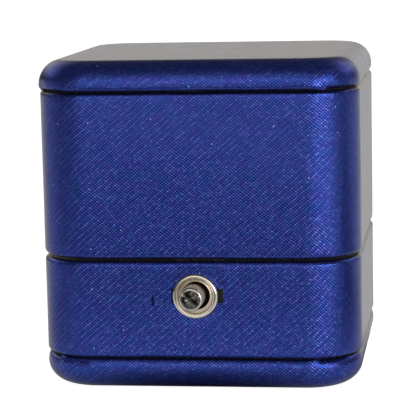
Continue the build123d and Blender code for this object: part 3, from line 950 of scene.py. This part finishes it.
# ---- finishes of the CAD pieces ------------------------------------------------------------------
FINISHES = {
    "fibreboard": BOARD, "leatherette": LEATHERETTE, "velvet": VELVET, "velvet_pad": VELVET, "foam": FOAM,
    "bright_nickel": NICKEL, "black_plastic": PLASTIC, "steel_screw": STEEL, "spring_steel": STEEL,
}
OWN_FINISHES = {"strike_plate": DULL_NICKEL, "latch_bezel": BEZEL_NICKEL, "push_button": BUTTON_NICKEL}


def finish_nodes():
    """Gives each CAD piece its material."""
    for entry in frame["record"]["subparts"]:
        mesh = NODES[entry["node"]].data
        mesh.materials.clear()
        mesh.materials.append(OWN_FINISHES.get(entry["node"]) or FINISHES[entry["material_slot"]])


# ---- floor, light and camera ---------------------------------------------------------------------
# Each light panel has four azimuths in degrees, between which it fades in and out, and its strength at a
# few values of the sine of the elevation. Azimuth 0 is in front of the box and 90 is to its right.
FRONT_PANEL = (
    (-41.0, -12.0, 20.0, 60.0),
    ((0.0, 1.65), (0.15, 1.6), (0.28, 0.9), (0.45, 0.75), (0.66, 0.35), (0.80, 0.0)),
)
KEY_PANEL = ((18.0, 34.0, 60.0, 72.0), ((0.0, 3.8), (0.15, 3.6), (0.30, 1.4), (0.50, 0.0)))
HIGH_RIGHT_PANEL = (
    (92.0, 112.0, 150.0, 172.0),
    ((0.0, 0.0), (0.20, 0.0), (0.34, 1.2), (0.60, 0.9), (0.80, 0.0)),
)
BACK_PANEL = ((130.0, 162.0, 195.0, 218.0), ((0.0, 0.75), (0.15, 0.71), (0.28, 0.1), (0.5, 0.0)))
HIGH_LEFT_PANEL = (
    (194.0, 212.0, 250.0, 278.0),
    ((0.0, 0.0), (0.16, 0.0), (0.36, 1.2), (0.50, 1.2), (0.75, 0.0)),
)
FILL = (0.064, 0.055, 0.043)  # faint warm light from every direction


def studio_world():
    """Light tent of soft panels: a wide one in front, a key to its right, others behind, a dark ceiling.

    The camera sees plain white in every direction.
    """
    world = bpy.data.worlds.new("studio")
    SCENE.world = world
    world.use_nodes = True
    n = Nodes(world.node_tree)
    output = n.new("ShaderNodeOutputWorld")
    x, y, z = n.parts(n.new("ShaderNodeTexCoord").outputs["Generated"])
    azimuth = n.math("ARCTAN2", x, n.math("MULTIPLY", y, -1.0))

    def panel(edges, stops):
        """Strength of one panel. The azimuth is wrapped at the point opposite the panel's middle."""
        wrap_from = math.radians(sum(edges) / 4) - math.pi
        here = n.math("WRAP", azimuth, wrap_from + 2 * math.pi, wrap_from)
        rise = n.range(here, math.radians(edges[0]), math.radians(edges[1]), 0.0, 1.0, smooth=True)
        fall = n.range(here, math.radians(edges[2]), math.radians(edges[3]), 1.0, 0.0, smooth=True)
        peak = max(level for _, level in stops)
        levels = [(height, level / peak) for height, level in stops]
        strength = n.math("MULTIPLY", n.ramp(z, levels), peak)
        return n.math("MULTIPLY", n.math("MULTIPLY", rise, fall), strength)

    total = 0.0
    for edges, stops in (FRONT_PANEL, KEY_PANEL, HIGH_RIGHT_PANEL, BACK_PANEL, HIGH_LEFT_PANEL):
        total = n.math("ADD", total, panel(edges, stops))
    panels = n.new("ShaderNodeBackground")
    n.link(total, panels.inputs["Strength"])
    fill = n.new("ShaderNodeBackground")
    fill.inputs["Color"].default_value = (*FILL, 1)
    light = n.both(panels, fill)
    seen = n.new("ShaderNodeBackground")
    seen.inputs["Color"].default_value = (1, 1, 1, 1)
    n.link(n.seen_or_given(seen, light), output.inputs[0])


FLOOR_SEEN = 0.92  # what the camera sees of the floor where it is fully shaded
FLOOR_FRONT, FLOOR_BACK = 0.56, 0.55  # what the object gets back from it, in front and behind
FLAG_PLACE = Vector((-25.0, -190.0)) * MM  # where the floor gives the object little light, before it, as a dark flag lying there would
FLAG_LEVEL = 0.15  # share of its light that the floor gives at the flag
FRONT_LEFT_LEVEL = 0.55  # and far to the front left
FLOOR_RADIUS = 6.0
FLOOR_DROP = 0.02 * MM  # below the object, which stands at zero


def studio_floor():
    """Pale floor. The light it gives the object is dimmer than it looks, and shaped.

    It gives none under the object and far to its sides, and little at the flag in front.
    """
    bm = bmesh.new()
    bmesh.ops.create_circle(bm, cap_ends=True, radius=FLOOR_RADIUS, segments=96)
    mesh = bpy.data.meshes.new("studio_floor")
    bm.to_mesh(mesh)
    bm.free()
    floor = bpy.data.objects.new("studio_floor", mesh)
    floor.location.z = -FLOOR_DROP
    SCENE.collection.objects.link(floor)
    material = bpy.data.materials.new("floor_white")
    material.use_nodes = True
    mesh.materials.append(material)
    n = Nodes(material.node_tree)
    output = n.new("ShaderNodeOutputMaterial")
    position = n.new("ShaderNodeNewGeometry").outputs["Position"]
    x, y, _ = n.parts(position)

    def distance(centre):
        away = n.new("ShaderNodeVectorMath", operation="DISTANCE")
        n.link(position, away.inputs[0])
        away.inputs[1].default_value = (centre.x, centre.y, 0)
        return away.outputs["Value"]

    reach = distance(Vector((0, 0)))
    clear = n.range(reach, 30 * MM, 50 * MM, 0.0, 1.0, smooth=True)
    near = n.range(reach, 60 * MM, 110 * MM, 1.0, 0.0, smooth=True)
    front_left = n.range(x, -160 * MM, -90 * MM, FRONT_LEFT_LEVEL, 1.0, smooth=True)
    before = n.math("MULTIPLY", n.range(y, -60 * MM, -30 * MM, 1.0, 0.0, smooth=True), front_left)
    back_edge = n.range(x, -130 * MM, -60 * MM, -75 * MM, 20 * MM, smooth=True)
    behind = n.range(n.math("SUBTRACT", y, back_edge), 0, 34 * MM, smooth=True)
    clear = n.math("MULTIPLY", clear, n.math("MAXIMUM", n.math("MAXIMUM", before, behind), near))
    flag = n.range(distance(FLAG_PLACE), 70 * MM, 125 * MM, FLAG_LEVEL, 1.0, smooth=True)
    depth = n.range(y, -20 * MM, 100 * MM, FLOOR_FRONT, FLOOR_BACK, smooth=True)
    given = n.new("ShaderNodeEmission")
    n.link(n.math("MULTIPLY", n.math("MULTIPLY", clear, flag), depth), given.inputs["Strength"])
    seen = n.new("ShaderNodeEmission")
    seen.inputs["Strength"].default_value = FLOOR_SEEN
    matt = n.new("ShaderNodeBsdfDiffuse")
    matt.inputs["Color"].default_value = (0.9, 0.9, 0.9, 1)
    shown = n.both(seen, matt)
    n.link(n.seen_or_given(shown, given), output.inputs[0])


CAMERA_PLACE = Vector((55.0, -408.3, 92.7)) * MM
CAMERA_YAW, CAMERA_PITCH, CAMERA_ROLL = -0.1379, -0.1449, -0.0214  # radians
CAMERA_LENS = 167.7  # mm


def photo_camera():
    """The view from the front, a little to the right and above."""
    forward = Vector((
        math.sin(CAMERA_YAW) * math.cos(CAMERA_PITCH),
        math.cos(CAMERA_YAW) * math.cos(CAMERA_PITCH),
        math.sin(CAMERA_PITCH),
    ))
    right = Vector((math.cos(CAMERA_YAW), -math.sin(CAMERA_YAW), 0))
    up = right.cross(forward)
    turned_right = right * math.cos(CAMERA_ROLL) + up * math.sin(CAMERA_ROLL)
    turned_up = up * math.cos(CAMERA_ROLL) - right * math.sin(CAMERA_ROLL)
    data = bpy.data.cameras.new("camera")
    data.lens = CAMERA_LENS
    data.clip_start, data.clip_end = 0.01, 50
    camera = bpy.data.objects.new("camera", data)
    SCENE.collection.objects.link(camera)
    axes = Matrix((turned_right, turned_up, -forward)).transposed()
    camera.matrix_world = Matrix.Translation(CAMERA_PLACE) @ axes.to_4x4()
    SCENE.camera = camera


finish_nodes()
covers()
interior()
springs()
studio_world()
studio_floor()
photo_camera()
SCENE.view_settings.view_transform = "Standard"
